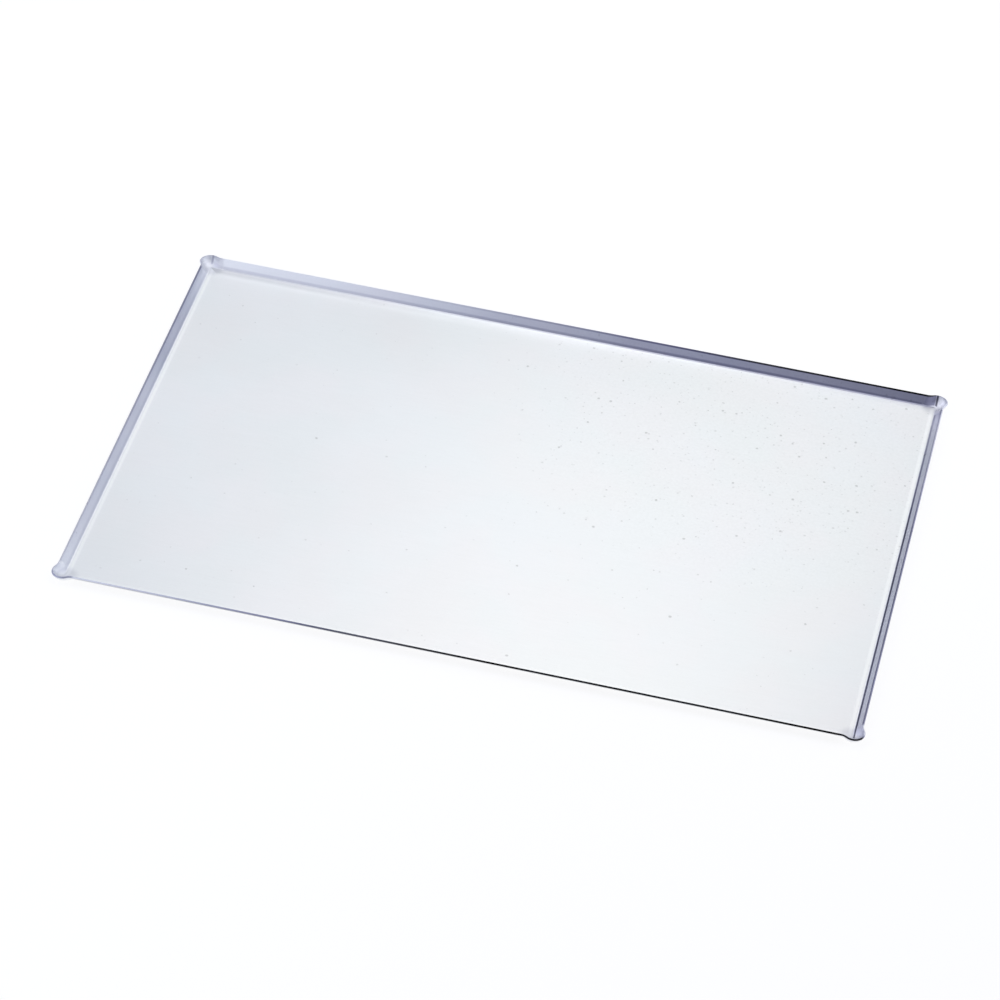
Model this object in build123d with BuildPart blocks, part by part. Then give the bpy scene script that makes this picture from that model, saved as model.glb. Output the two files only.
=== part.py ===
# Cookie sheet: a shallow baking sheet pressed from one piece of thin aluminium.
# The four edges are bent up into low sloping rims. The corners are not cut or
# joined: the surplus metal there is pressed out into a small rounded ear.
# Origin at the centre of the underside, X along the long side, Z up.

from build123d import *
import os
from math import acos, atan2, cos, degrees, radians, sin, sqrt, tan

# The sheet, in millimetres and degrees
sheet_length = 600.0  # over the outer edges of the two short rims
sheet_width = 400.0  # over the outer edges of the two long rims
sheet_thickness = 1.0
inner_depth = 6.6  # from the bed up to the inner edge of a rim
rim_slope = 50.0  # of the rims above the bed
bend_radius = 1.5  # inside the bend between bed and rim

# The ears at the corners, seen in plan unless a height is meant
ear_radius = 8.8  # of the ear's round edge
ear_bulge = 2.4  # how far that edge stands out beyond the straight rims
ear_flare_radius = 11.6  # of the hollow curve that leads from rim to ear
ear_dip = 0.6  # how much lower the ear's edge lies than the rims
belly_height = 3.0  # height of the ear's belly, above the underside
belly_radius = 7.0
belly_flare_radius = 8.5
foot_radius = 3.0  # of the bed's corner, under the ear
foot_bulge = 0.5
foot_flare_radius = 6.0

# How far the pressed shape runs on past the line where it is sheared
shear_overrun = 1.5

slope = radians(rim_slope)
rim_height = sheet_thickness + inner_depth
edge_height = rim_height - sheet_thickness * cos(slope)
pressed_height = rim_height + shear_overrun
ear_centre_inset = ear_radius - ear_bulge


def rim_inset(height, depth=0):
    """How far a straight rim's face lies inside the outer edge of the rim.

    The face is the outer one, or one that lies the given depth inside the metal.
    """
    return (edge_height - height) / tan(slope) + depth / sin(slope)


def plan_outline(height, inset, radius, bulge, flare_radius):
    """Plan outline at one height: straight sides, and a round ear on each corner."""
    flare_turn = degrees(acos(1 - bulge / (radius + flare_radius)))
    flare_reach = (radius + flare_radius) * sin(radians(flare_turn))
    half_length = sheet_length / 2 - inset
    half_width = sheet_width / 2 - inset
    flare_start = half_length - (radius - bulge) - flare_reach
    with BuildSketch(Plane.XY.offset(height)) as outline:
        with BuildLine():
            side = Line((0, half_width), (flare_start, half_width))
            flare = JernArc(side @ 1, side % 1, flare_radius, flare_turn)
            ear = JernArc(flare @ 1, flare % 1, radius, -90 - 2 * flare_turn)
            end_flare = JernArc(ear @ 1, ear % 1, flare_radius, flare_turn)
            Line(end_flare @ 1, (half_length, 0))
            mirror(about=Plane.YZ)
            mirror(about=Plane.XZ)
        make_face()
    return outline.sketch


def ear_outline(height, inset, radius, flare_radius):
    """Plan outline at one height, with every ear about the same upright axis."""
    bulge = radius - (ear_centre_inset - inset)
    return plan_outline(height, inset, radius, bulge, flare_radius)


# Radial profile of an ear's outer face: foot, belly, then straight up to its edge
foot_reach = foot_radius + sqrt(2) * (
    ear_centre_inset - rim_inset(0) - (foot_radius - foot_bulge)
)
lower_slope = atan2(belly_height, belly_radius - foot_reach)
upper_slope = atan2(pressed_height - belly_height, ear_radius - belly_radius)

# The same profile one sheet thickness further in
mean_slope = (lower_slope + upper_slope) / 2
belly_shift = sheet_thickness / cos((upper_slope - lower_slope) / 2)
inner_belly_radius = belly_radius - belly_shift * sin(mean_slope)
inner_belly_height = belly_height + belly_shift * cos(mean_slope)
inner_ear_radius = ear_radius - sheet_thickness / sin(upper_slope)
foot_inset = rim_inset(0)
inner_foot_inset = rim_inset(sheet_thickness, sheet_thickness)
foot_shift = inner_foot_inset - foot_inset

# Outlines of the sheet's outer and inner faces, from the bed upwards
outer_outlines = [
    plan_outline(0, foot_inset, foot_radius, foot_bulge, foot_flare_radius),
    ear_outline(belly_height, rim_inset(belly_height), belly_radius, belly_flare_radius),
    ear_outline(pressed_height, rim_inset(pressed_height), ear_radius, ear_flare_radius),
]
inner_outlines = [
    plan_outline(
        sheet_thickness,
        inner_foot_inset,
        foot_radius - foot_shift,
        foot_bulge,
        foot_flare_radius + foot_shift,
    ),
    ear_outline(
        inner_belly_height,
        rim_inset(inner_belly_height, sheet_thickness),
        inner_belly_radius,
        belly_flare_radius + sheet_thickness,
    ),
    ear_outline(
        pressed_height,
        rim_inset(pressed_height, sheet_thickness),
        inner_ear_radius,
        ear_flare_radius + sheet_thickness,
    ),
]

# The shears cut square to the rims, so the cut face slopes down as it goes out
cut_reach = shear_overrun + sheet_thickness
ear_draw_in = ear_dip * tan(slope)


def cut_outline(reach):
    """Outline of the cut, the given distance up and in from the outer edge."""
    inset = reach * sin(slope)
    radius = ear_radius - ear_draw_in - inset
    bulge = ear_bulge - ear_draw_in
    height = edge_height + reach * cos(slope)
    return plan_outline(height, inset, radius, bulge, ear_flare_radius + inset)


lowest_cut = cut_outline(-cut_reach)
highest_cut = cut_outline(cut_reach)
with BuildPart() as offcut:
    with BuildSketch(Plane.XY.offset(edge_height - cut_reach * cos(slope))):
        Rectangle(sheet_length + sheet_width, sheet_length + sheet_width)
    extrude(amount=pressed_height)
    loft([lowest_cut, highest_cut], ruled=True, mode=Mode.SUBTRACT)

with BuildPart() as hollow:
    loft(inner_outlines)
    bed = hollow.faces().sort_by(Axis.Z)[0]
    fillet(bed.edges(), bend_radius)

with BuildPart() as baking_sheet:
    loft(outer_outlines)
    underside = baking_sheet.faces().sort_by(Axis.Z)[0]
    fillet(underside.edges(), bend_radius + sheet_thickness)
    add(hollow.part, mode=Mode.SUBTRACT)
    add(offcut.part, mode=Mode.SUBTRACT)

baking_sheet.part.label = "baking_sheet"

os.makedirs("parts", exist_ok=True)
export_step(baking_sheet.part, "parts/baking_sheet.step")

box = baking_sheet.part.bounding_box()
print("faces", len(baking_sheet.faces()), "valid", baking_sheet.part.is_valid)
print("overall", round(box.size.X, 2), round(box.size.Y, 2), round(box.size.Z, 2))
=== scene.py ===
"""The cookie sheet in a plain pale studio. Lengths are in metres, in the part's own frame."""

import math

import bpy
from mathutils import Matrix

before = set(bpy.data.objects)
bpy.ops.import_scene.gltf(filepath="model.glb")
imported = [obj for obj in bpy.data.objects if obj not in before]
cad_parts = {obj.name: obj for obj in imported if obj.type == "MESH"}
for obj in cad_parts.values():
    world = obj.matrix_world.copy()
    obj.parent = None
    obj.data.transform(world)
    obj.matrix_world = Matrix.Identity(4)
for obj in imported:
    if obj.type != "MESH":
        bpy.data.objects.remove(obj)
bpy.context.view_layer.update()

# Camera: place in metres, turn in degrees, lens in millimetres on a 36 mm sensor
CAMERA_PLACE = (0.43531, -2.47584, 2.14063)
CAMERA_TURN = (49.34978, -3.50405, 13.19514)
LENS = 157.2458
SENSOR = 36.0

# The sheet's half sizes over its rims, and the middle of each corner ear
HALF_LENGTH = 0.3
HALF_WIDTH = 0.2
EAR_CENTRE = (0.2936, 0.1936)

# A ramp below is (from, to), or (from, to, value before, value after), where the plain
# values are 0 and 1. Tones are shares of the metal's own brightness.

# Measured from the ears' middle outwards: where they start, at what distance they end,
# where the fold line lies behind, and where their front begins
EAR_START = (-0.0012, 0.0)
EAR_END = (0.009, 0.0115, 1.0, 0.0)
FOLD_PASSED = (-0.0018, -0.0004)
EAR_FRONT = (-0.001, 0.006)

# Satin aluminium. A noise is its scale and detail, and ramps turn it into tones.
METAL_TINTS = ((0.896, 0.898, 0.921), (0.885, 0.904, 0.926))
TINT_NOISE = (14.0, 2.0)
TINT_SHARE = (0.35, 0.65)
CLOUD_NOISE = (9.0, 3.0)
CLOUD_TONE = (0.3, 0.7, -0.012, 0.012)
CLOUD_ROUGHNESS = (0.25, 0.75, 0.34, 0.4)
EAR_ROUGHNESS = 0.55
GRAIN_NOISE = (1.0, 3.0)
GRAIN_STRETCH = (60.0, 1500.0, 1500.0)
GRAIN_TONE = (0.3, 0.7, -0.007, 0.007)
GRAIN_BUMP = 0.1
GRAIN_HEIGHT = 0.00002
# Noise that breaks up the painted shade of the edges, bends, rims and ears
SHADE_BREAKUP_NOISE = (22.0, 2.0)
SHADE_BREAKUP_SHARE = (0.3, 0.6, 0.94, 1.0)

# Specks lie mostly round one place on the far right of the bed, in loose patches.
# Each layer is its spacing, the sizes in shares of the spacing, and the faintest and
# darkest tone.
SPECK_LAYERS = (
    (0.0075, (0.09, 0.2), (0.06, 0.26)),
    (0.0048, (0.12, 0.26), (0.03, 0.15)),
    (0.0033, (0.12, 0.28), (0.03, 0.12)),
)
SPECK_SOFTNESS = (0.0, 0.5)
SPECK_HEART = (0.19, 0.13, 0.0)
SPECK_CROWD = (0.06, 0.26, 0.95, 0.05)
SPECK_PATCH_NOISE = (60.0, 1.0)
SPECK_PATCHES = (0.35, 0.65, 0.5, 1.3)
SPECK_WANDER_NOISE = (900.0, 2.0)
SPECK_WANDER = (0.0014, 0.0014, 0.0)
MOTTLE_NOISE = (450.0, 2.0)
MOTTLE_TONE = (0.35, 0.65, -0.014, 0.014)
MOTTLE_BY_CROWD = (0.0, 0.6, 0.25, 1.0)

# Painted shade, side by side. On a side, a ramp runs along it and a number holds all along.
# In an ear, a pair is the shade before and past the fold line of a far ear, or behind and
# at the front of a near ear.
# The sheared edge and the rims' tops carry painted shade: how far the edge faces outwards,
# and the height at which the painted shade starts
SHEARED_FACING = (0.05, 0.3)
STRIP_START = dict(far=0.0062, near=0.004, left=0.0065, right=0.0064)
EAR_STRIP_START = 0.006
STRIP_FADE = 0.0005
STRIP_PAINTED_SHADE = dict(
    far=(-0.18, 0.24, 0.0, 1.0),
    near=(-0.32, 0.03, 0.25, 1.0),
    left=(-0.2, 0.2, 0.18, 0.52),
    right=(0.0, 0.2, 0.74, 0.3),
)
EAR_STRIP_PAINTED_SHADE = dict(
    far_left=0.12, far_right=(0.95, 0.25), near_left=(0.15, 0.55), near_right=(0.15, 1.0)
)
# Painted shade along the bends, where the walls meet the bed: it ends at a distance from the
# rim's edge and fades with height. In the ears it is only a thin line.
BEND_END = dict(far=0.0068, near=0.0066, left=0.0066, right=0.0056)
BEND_FADE = 0.0009
BEND_HEIGHT = (0.0022, 0.0036, 1.0, 0.0)
BEND_PAINTED_SHADE = dict(far=(-0.25, 0.25, 0.2, 0.55), left=0.1, right=(0.02, 0.22, 0.84, 0.34))
BEND_LINE = dict(far=0.007, near=0.007, left=0.0058, right=0.0058)
BEND_LINE_WIDTH = (0.0007, 0.0013, 1.0, 0.0)
EAR_BEND_SHARE = dict(far_right=(1.0, 0.0), near_right=1.0)
# Painted shade on the rims' inner faces above their foot, and on the fold line in the far ears
WALL_FOOT = 0.0015
EAR_WALL_FOOT = dict(far_left=0.0015, far_right=0.00108, near_left=0.0015, near_right=0.0015)
WALL_FADE = 0.0005
FAR_WALL_PAINTED_SHADES = ((-0.1, 0.0, 0.0, 0.08), (0.1, 0.29, 0.0, 0.31))
RIGHT_WALL_PAINTED_SHADE = (0.12, 0.18, 0.09, 0.0)
EAR_WALL_PAINTED_SHADE = dict(far_left=0.06, far_right=(0.66, 0.02), near_left=0.04, near_right=0.24)
FOLD_WIDTH = (0.0005, 0.0012, 1.0, 0.0)
FOLD_PAINTED_SHADE = dict(far_left=0.38, far_right=0.85)
# Painted shade at the foot of each ear on the bed, by the distance from the ear's middle
EAR_FOOT_PAINTED_SHADE = (0.006, 0.013, 0.17, 0.0)
EAR_FOOT_HEIGHT = (0.0025, 0.004, 1.0, 0.0)
# The painted shade is bluish: blue loses less than red and green where the tone is only half dark
BLUE_LOSS = (0.62, 0.9, 0.82, 1.0)

# A painted highlight and a strip of painted shade beside the bends, by the distance from the rim's
# edge
HIGHLIGHT_BAND = ((0.0073, 0.0082), (0.0092, 0.0108, 1.0, 0.0))
PAINTED_HIGHLIGHT_TONE = dict(far=(-0.1, 0.1, 0.0, 0.05), near=0.04, left=0.1, right=0.09)
SHADE_BAND = ((0.006, 0.0075), (0.01, 0.015, 1.0, 0.0))
BAND_PAINTED_SHADE = dict(far=(-0.27, 0.05, 0.22, 0.0))
# Painted light: the right rim gets lighter toward its far end
PAINTED_LIGHT_HEIGHT = (0.0015, 0.002)
PAINTED_LIGHT_TONE = dict(right=(0.14, 0.18, 0.0, 0.1))

# Round soft lights: azimuth and elevation in degrees seen from the sheet, colour times strength
LIGHT_DISTANCE = 1.35
LIGHT_RADIUS = 0.39
LIGHTS = {
    "behind_right": (82, 38, (0.87, 0.88, 0.81)),
    "behind_left": (118, 38, (0.725, 0.747, 0.712)),
    "high_behind": (100, 68, (1.15, 1.08, 0.94)),
    "front_left": (226, 38, (1.33, 1.4, 1.48)),
    "front": (262, 38, (0.02, 0.02, 0.15)),
    "low_right": (30, 8, (1.48, 1.49, 1.5)),
    "low_behind_right": (60, 8, (0.01, 0.03, 0.12)),
}
# The dim world, and its soft bright areas: azimuth and elevation of the middle, inner and
# outer angle from it, all in degrees, and the colour that they add
WORLD_COLOUR = (0.0, 0.007, 0.057)
GLOWS = {
    "top": (100, 80, 10, 38, (0.33, 0.36, 0.4)),
    "right": (350, 25, 15, 38, (0.78, 0.8, 0.87)),
    "right_high": (20, 60, 10, 35, (0.76, 0.78, 0.84)),
    "left": (185, 25, 15, 38, (0.71, 0.72, 0.83)),
    "left_high": (170, 60, 10, 35, (0.71, 0.74, 0.85)),
    "front_low": (275, -4, 10, 26, (0.9, 0.91, 0.97)),
    "front_right_low": (315, 0, 12, 32, (0.92, 0.93, 0.99)),
    "front_left_low": (232, -4, 10, 28, (0.92, 0.93, 0.98)),
    "back_left": (150, 30, 8, 26, (0.3, 0.32, 0.46)),
    "back_right": (48, 36, 8, 26, (0.38, 0.41, 0.5)),
}
# The camera sees the world as white. Metal sees it at a share, and it sees the floor's
# glow at the same share as the camera.
WHITE = (1.0, 1.0, 1.0)
WORLD_WHITE_IN_METAL = 0.13
FLOOR_SIZE = 16
FLOOR_COLOUR = (0.9, 0.9, 0.9)
FLOOR_GLOW = 1.09
FLOOR_GLOW_SHARE = 0.78


class Nodes:
    """Short calls for building one node tree."""

    def __init__(self, tree):
        self.tree = tree

    def add(self, kind, **settings):
        node = self.tree.nodes.new(kind)
        for key, value in settings.items():
            setattr(node, key, value)
        return node

    def feed(self, socket, value):
        """Link the socket to an output, or set a number, vector or colour on it."""
        if hasattr(value, "is_output"):
            self.tree.links.new(value, socket)
        elif isinstance(value, tuple) and len(value) == 3 and len(socket.default_value) == 4:
            socket.default_value = (*value, 1.0)
        else:
            socket.default_value = value

    def call(self, kind, inputs, output=0, **settings):
        """Add a node, feed its inputs by name or number, and give one of its outputs."""
        node = self.add(kind, **settings)
        for key, value in inputs.items():
            self.feed(node.inputs[key], value)
        return node.outputs[output]

    def math(self, operation, a, b=0.0, c=0.0, clamp=False):
        inputs = {0: a, 1: b, 2: c}
        return self.call("ShaderNodeMath", inputs, operation=operation, use_clamp=clamp)

    def chain(self, operation, first, *others):
        """One operation over several values."""
        for value in others:
            first = self.math(operation, first, value)
        return first

    def vector(self, operation, inputs, output="Vector"):
        return self.call("ShaderNodeVectorMath", inputs, output, operation=operation)

    def ramp(self, value, low, high, out_low=0.0, out_high=1.0):
        inputs = {
            "Value": value,
            "From Min": low,
            "From Max": high,
            "To Min": out_low,
            "To Max": out_high,
        }
        return self.call("ShaderNodeMapRange", inputs, interpolation_type="SMOOTHSTEP")

    def ramp_from(self, value, start, fade, out_low=0.0, out_high=1.0):
        """A ramp that begins at a start of its own in each place."""
        return self.ramp(value, start, self.math("ADD", start, fade), out_low, out_high)

    def band(self, value, rise, fall):
        return self.math("MULTIPLY", self.ramp(value, *rise), self.ramp(value, *fall))

    def mix(self, factor, a, b, blend="MIX"):
        inputs = {0: factor, 6: a, 7: b}
        return self.call("ShaderNodeMix", inputs, 2, data_type="RGBA", blend_type=blend)

    def mix_value(self, factor, a, b):
        return self.call("ShaderNodeMix", {0: factor, 2: a, 3: b}, data_type="FLOAT")

    def noise(self, vector, scale, detail, output=0):
        inputs = {"Vector": vector, "Scale": scale, "Detail": detail}
        return self.call("ShaderNodeTexNoise", inputs, output)

    def stretch(self, vector, scale):
        return self.call("ShaderNodeMapping", {"Vector": vector, "Scale": scale})

    def split(self, vector):
        node = self.add("ShaderNodeSeparateXYZ")
        self.feed(node.inputs[0], vector)
        return node.outputs

    def split_colour(self, colour):
        node = self.add("ShaderNodeSeparateColor")
        self.feed(node.inputs[0], colour)
        return node.outputs

    def join_colour(self, red, green, blue):
        return self.call("ShaderNodeCombineColor", {0: red, 1: green, 2: blue})

    def seen_in_gloss(self, rays):
        return self.math("MAXIMUM", rays["Is Glossy Ray"], rays["Is Transmission Ray"])


class SheetNodes(Nodes):
    """The nodes of the sheet's metal, with the places that its tones follow."""

    def __init__(self, tree):
        super().__init__(tree)
        self.place = self.call("ShaderNodeTexCoord", {}, "Object")
        self.x, self.y, self.z = self.split(self.place)
        normal_x, normal_y, normal_z = self.split(
            self.call("ShaderNodeNewGeometry", {}, "True Normal")
        )
        self.inner = self.math("GREATER_THAN", normal_z, 0.0)
        self.outwards = self.math(
            "ADD",
            self.math("MULTIPLY", normal_x, self.math("SIGN", self.x)),
            self.math("MULTIPLY", normal_y, self.math("SIGN", self.y)),
        )

        from_middle_x = self.math("ABSOLUTE", self.x)
        from_middle_y = self.math("ABSOLUTE", self.y)
        to_short = self.math("SUBTRACT", HALF_LENGTH, from_middle_x)
        self.to_long = self.math("SUBTRACT", HALF_WIDTH, from_middle_y)
        self.to_edge = self.math("MINIMUM", self.to_long, to_short)
        self.on_short_side = self.math("LESS_THAN", to_short, self.to_long)
        self.is_right = self.math("GREATER_THAN", self.x, 0.0)
        self.is_near = self.math("LESS_THAN", self.y, 0.0)

        self.ear_x = self.math("SUBTRACT", from_middle_x, EAR_CENTRE[0])
        ear_y = self.math("SUBTRACT", from_middle_y, EAR_CENTRE[1])
        in_ear = self.call("ShaderNodeCombineXYZ", {0: self.ear_x, 1: ear_y})
        self.from_ear = self.vector("LENGTH", {0: in_ear}, "Value")
        self.ear = self.math(
            "MULTIPLY",
            self.ramp(self.from_ear, *EAR_END),
            self.ramp(self.math("MAXIMUM", self.ear_x, ear_y), *EAR_START),
        )
        self.past_fold = self.ramp(self.ear_x, *FOLD_PASSED)
        self.at_front = self.ramp(ear_y, *EAR_FRONT)

    def by_side(self, far=0.0, near=0.0, left=0.0, right=0.0):
        """The value of the side: a number or output, or a ramp along the side."""
        far, near, left, right = (
            self.ramp(along, *value) if isinstance(value, tuple) else value
            for along, value in ((self.x, far), (self.x, near), (self.y, left), (self.y, right))
        )
        long_side = self.mix_value(self.is_near, far, near)
        short_side = self.mix_value(self.is_right, left, right)
        return self.mix_value(self.on_short_side, long_side, short_side)

    def by_corner(self, far_left=0.0, far_right=0.0, near_left=0.0, near_right=0.0):
        """The value of the corner: a number, or a pair across the ear."""
        far_left, far_right, near_left, near_right = (
            self.mix_value(across, *value) if isinstance(value, tuple) else value
            for across, value in (
                (self.past_fold, far_left),
                (self.past_fold, far_right),
                (self.at_front, near_left),
                (self.at_front, near_right),
            )
        )
        far = self.mix_value(self.is_right, far_left, far_right)
        near = self.mix_value(self.is_right, near_left, near_right)
        return self.mix_value(self.is_near, far, near)


def new_material(name, kind):
    material = bpy.data.materials.new(name)
    material.use_nodes = True
    material.node_tree.nodes.clear()
    return material, kind(material.node_tree)


def camera():
    data = bpy.data.cameras.new("camera")
    data.lens = LENS
    data.sensor_width = SENSOR
    data.sensor_fit = "HORIZONTAL"
    obj = bpy.data.objects.new("camera", data)
    bpy.context.scene.collection.objects.link(obj)
    obj.location = CAMERA_PLACE
    obj.rotation_euler = [math.radians(a) for a in CAMERA_TURN]
    bpy.context.scene.camera = obj


def speckled(n, tone):
    """The tone with the bed's specks and the fine mottle between them."""
    flat = n.stretch(n.place, (1.0, 1.0, 0.0))
    shift = n.noise(flat, *SPECK_WANDER_NOISE, output="Color")
    wandering = n.vector("MULTIPLY_ADD", {0: shift, 1: SPECK_WANDER, 2: flat})
    from_heart = n.vector("DISTANCE", {0: n.place, 1: SPECK_HEART}, "Value")
    crowd = n.ramp(from_heart, *SPECK_CROWD)
    patches = n.ramp(n.noise(flat, *SPECK_PATCH_NOISE), *SPECK_PATCHES)
    share = n.math("MULTIPLY", crowd, patches)

    specks = 0.0
    for spacing, sizes, tones in SPECK_LAYERS:
        cells = n.add("ShaderNodeTexVoronoi", feature="F1")
        n.feed(cells.inputs["Vector"], wandering)
        n.feed(cells.inputs["Scale"], 1 / spacing)
        draw, size_draw, tone_draw = n.split_colour(cells.outputs["Color"])
        size = n.ramp(size_draw, 0.0, 1.0, *sizes)
        off_centre = n.math("DIVIDE", cells.outputs["Distance"], size)
        dot = n.ramp(n.math("SUBTRACT", 1.0, off_centre, clamp=True), *SPECK_SOFTNESS)
        depth = n.ramp(tone_draw, 0.0, 1.0, *tones)
        layer = n.chain("MULTIPLY", dot, n.math("LESS_THAN", draw, share), depth)
        specks = n.math("MAXIMUM", specks, layer)

    mottle = n.ramp(n.noise(flat, *MOTTLE_NOISE), *MOTTLE_TONE)
    mottle = n.math("MULTIPLY", mottle, n.ramp(crowd, *MOTTLE_BY_CROWD))
    return n.math("ADD", n.math("SUBTRACT", tone, specks), mottle)


def painted_shade(n):
    """The painted shade at the metal's edge, bends, rims and ears: the tone that it loses, from 0
    to 1.
    """
    # Painted shade along the rims' tops and the sheared edge
    strip_start = n.mix_value(n.ear, n.by_side(**STRIP_START), EAR_STRIP_START)
    sheared = n.math("MULTIPLY", n.inner, n.ramp(n.outwards, *SHEARED_FACING))
    strip = n.math("MAXIMUM", n.ramp_from(n.z, strip_start, STRIP_FADE), sheared)
    strip_shade = n.mix_value(n.ear, n.by_side(**STRIP_PAINTED_SHADE), n.by_corner(**EAR_STRIP_PAINTED_SHADE))

    # Painted shade along the bends, and a thin dark line in the ears
    off_line = n.math("ABSOLUTE", n.math("SUBTRACT", n.to_edge, n.by_side(**BEND_LINE)))
    ear_bend = n.math("MULTIPLY", n.ramp(off_line, *BEND_LINE_WIDTH), n.by_corner(**EAR_BEND_SHARE))
    bend = n.chain(
        "MULTIPLY",
        n.ramp_from(n.to_edge, n.by_side(**BEND_END), BEND_FADE, 1.0, 0.0),
        n.ramp(n.z, *BEND_HEIGHT),
        n.inner,
        n.mix_value(n.ear, 1.0, ear_bend),
    )

    # Painted shade on the rims' inner faces and the far ears' fold lines
    far_wall = n.math("ADD", *(n.ramp(n.x, *tone) for tone in FAR_WALL_PAINTED_SHADES))
    wall_shade = n.by_side(far=far_wall, right=RIGHT_WALL_PAINTED_SHADE)
    wall_shade = n.mix_value(n.ear, wall_shade, n.by_corner(**EAR_WALL_PAINTED_SHADE))
    fold = n.ramp(n.math("ABSOLUTE", n.ear_x), *FOLD_WIDTH)
    fold_shade = n.math("MULTIPLY", fold, n.by_side(far=n.by_corner(**FOLD_PAINTED_SHADE)))
    wall_shade = n.math("MULTIPLY", n.math("MAXIMUM", wall_shade, fold_shade), n.inner)
    wall_foot = n.mix_value(n.ear, WALL_FOOT, n.by_corner(**EAR_WALL_FOOT))

    # Painted shade at the foot of each ear
    ear_foot = n.ramp(n.from_ear, *EAR_FOOT_PAINTED_SHADE)
    dark = n.chain(
        "MAXIMUM",
        n.math("MULTIPLY", strip, strip_shade),
        n.math("MULTIPLY", bend, n.by_side(**BEND_PAINTED_SHADE)),
        n.math("MULTIPLY", n.ramp_from(n.z, wall_foot, WALL_FADE), wall_shade),
        n.chain("MULTIPLY", ear_foot, n.ramp(n.z, *EAR_FOOT_HEIGHT), n.inner),
    )
    # A noise breaks up the painted shade
    shade_breakup = n.noise(n.place, *SHADE_BREAKUP_NOISE)
    return n.math("MULTIPLY", dark, n.ramp(shade_breakup, *SHADE_BREAKUP_SHARE))


def satin_aluminium():
    """Rolled sheet with fine grain along X, faint clouds and specks, painted shade at its bends,
    edge and rims, and a painted highlight beside the bends.
    """
    material, n = new_material("satin_aluminium", SheetNodes)
    cloud = n.noise(n.place, *CLOUD_NOISE)
    grain = n.noise(n.stretch(n.place, GRAIN_STRETCH), *GRAIN_NOISE)
    dark = painted_shade(n)

    tone = n.chain("ADD", n.ramp(cloud, *CLOUD_TONE), n.ramp(grain, *GRAIN_TONE), 1.0)
    tone = speckled(n, tone)
    # A painted highlight beside the bends
    painted_highlight = n.band(n.to_edge, *HIGHLIGHT_BAND)
    tone = n.math("MULTIPLY_ADD", painted_highlight, n.by_side(**PAINTED_HIGHLIGHT_TONE), tone)
    # A strip of painted shade on the bed beside the far rim, toward its left
    band_shade = n.math("MULTIPLY", n.band(n.to_long, *SHADE_BAND), n.by_side(**BAND_PAINTED_SHADE))
    # Painted light on the right rim toward its far end
    painted_light = n.math("MULTIPLY", n.by_side(**PAINTED_LIGHT_TONE), n.ramp(n.z, *PAINTED_LIGHT_HEIGHT))
    tone = n.math("ADD", n.math("SUBTRACT", tone, band_shade), painted_light)

    # The painted shade darkens the colour, keeping more blue where it is half dark
    kept = n.math("SUBTRACT", 1.0, dark, clamp=True)
    blue_dark = n.math("MULTIPLY", dark, n.ramp(dark, *BLUE_LOSS))
    blue_kept = n.math("SUBTRACT", 1.0, blue_dark, clamp=True)
    shade = n.join_colour(*(n.math("MULTIPLY", tone, part) for part in (kept, kept, blue_kept)))
    tint = n.mix(n.ramp(n.noise(n.place, *TINT_NOISE), *TINT_SHARE), *METAL_TINTS)

    bump = {"Strength": GRAIN_BUMP, "Distance": GRAIN_HEIGHT, "Height": grain}
    roughness = n.mix_value(n.ear, n.ramp(cloud, *CLOUD_ROUGHNESS), EAR_ROUGHNESS)
    shader = {
        "Metallic": 1.0,
        "Base Color": n.mix(1.0, tint, shade, "MULTIPLY"),
        # The specular tint follows the painted shade
        "Specular Tint": n.join_colour(kept, kept, kept),
        "Roughness": roughness,
        "Normal": n.call("ShaderNodeBump", bump),
    }
    n.feed(
        n.add("ShaderNodeOutputMaterial").inputs["Surface"],
        n.call("ShaderNodeBsdfPrincipled", shader),
    )
    return material


def floor():
    """A plain pale floor that the camera sees mostly as white, with the sheet's shadow on it."""
    bpy.ops.mesh.primitive_plane_add(size=FLOOR_SIZE)
    obj = bpy.context.object
    obj.name = "studio_floor"
    material, n = new_material("studio_floor", Nodes)
    plain = n.call("ShaderNodeBsdfDiffuse", {"Color": FLOOR_COLOUR})
    glow = n.call("ShaderNodeEmission", {"Strength": FLOOR_GLOW})
    rays = n.add("ShaderNodeLightPath").outputs
    seen = n.math("MAXIMUM", rays["Is Camera Ray"], n.seen_in_gloss(rays))
    share = n.math("MULTIPLY", seen, FLOOR_GLOW_SHARE)
    n.feed(
        n.add("ShaderNodeOutputMaterial").inputs["Surface"],
        n.call("ShaderNodeMixShader", {0: share, 1: plain, 2: glow}),
    )
    obj.data.materials.append(material)


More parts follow.
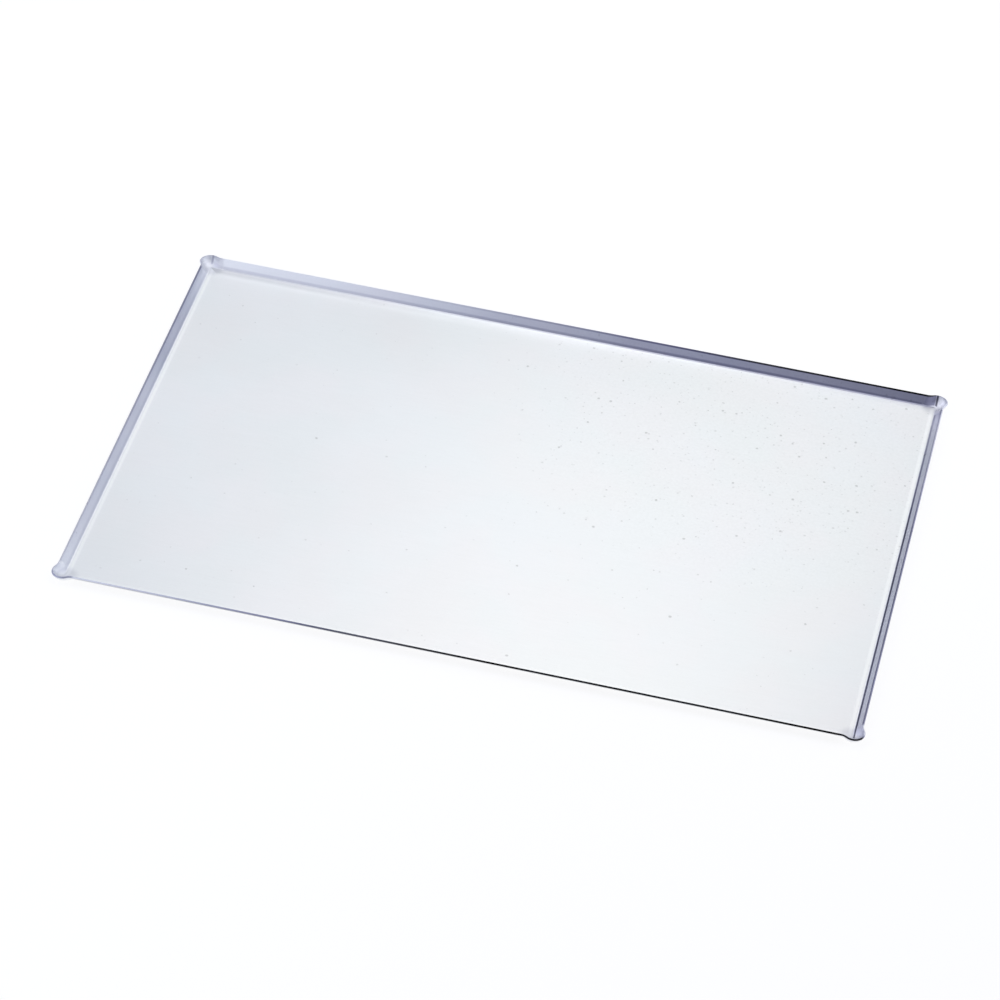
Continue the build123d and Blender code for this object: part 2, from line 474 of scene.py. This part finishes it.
def unit_vector(azimuth, elevation):
    a, e = math.radians(azimuth), math.radians(elevation)
    return (math.cos(e) * math.cos(a), math.cos(e) * math.sin(a), math.sin(e))


def studio_light(name, azimuth, elevation, colour):
    """A round soft light that faces the sheet, with its brightest channel as its strength."""
    strength = max(colour)
    data = bpy.data.lights.new("light_" + name, "AREA")
    data.shape = "DISK"
    data.size = 2 * LIGHT_RADIUS
    data.color = [c / strength for c in colour]
    # The power of a disk of that radiance is pi times its area
    data.energy = strength * (math.pi * LIGHT_RADIUS) ** 2
    obj = bpy.data.objects.new("light_" + name, data)
    bpy.context.scene.collection.objects.link(obj)
    obj.location = [LIGHT_DISTANCE * c for c in unit_vector(azimuth, elevation)]
    obj.rotation_euler = (math.radians(90 - elevation), 0, math.radians(azimuth + 90))
    obj.visible_camera = False


def surroundings():
    """A dim world with wide soft bright areas, which the camera sees as white."""
    world = bpy.data.worlds.new("studio")
    bpy.context.scene.world = world
    world.use_nodes = True
    world.node_tree.nodes.clear()
    n = Nodes(world.node_tree)
    direction = n.call("ShaderNodeTexCoord", {}, "Generated")
    total = WORLD_COLOUR
    for azimuth, elevation, inner, outer, colour in GLOWS.values():
        middle = unit_vector(azimuth, elevation)
        nearness = n.vector("DOT_PRODUCT", {0: direction, 1: middle}, "Value")
        limits = [math.cos(math.radians(angle)) for angle in (outer, inner)]
        total = n.mix(n.ramp(nearness, *limits), total, n.mix(1.0, total, colour, "ADD"))
    rays = n.add("ShaderNodeLightPath").outputs
    in_metal = n.math("MULTIPLY", n.seen_in_gloss(rays), WORLD_WHITE_IN_METAL)
    white_share = n.math("MAXIMUM", rays["Is Camera Ray"], in_metal)
    background = n.call("ShaderNodeBackground", {"Color": n.mix(white_share, total, WHITE)})
    n.feed(n.add("ShaderNodeOutputWorld").inputs["Surface"], background)
    bpy.context.scene.view_settings.view_transform = "Standard"


camera()
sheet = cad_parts["baking_sheet"]
sheet.data.materials.clear()
sheet.data.materials.append(satin_aluminium())
floor()
for name, values in LIGHTS.items():
    studio_light(name, *values)
surroundings()
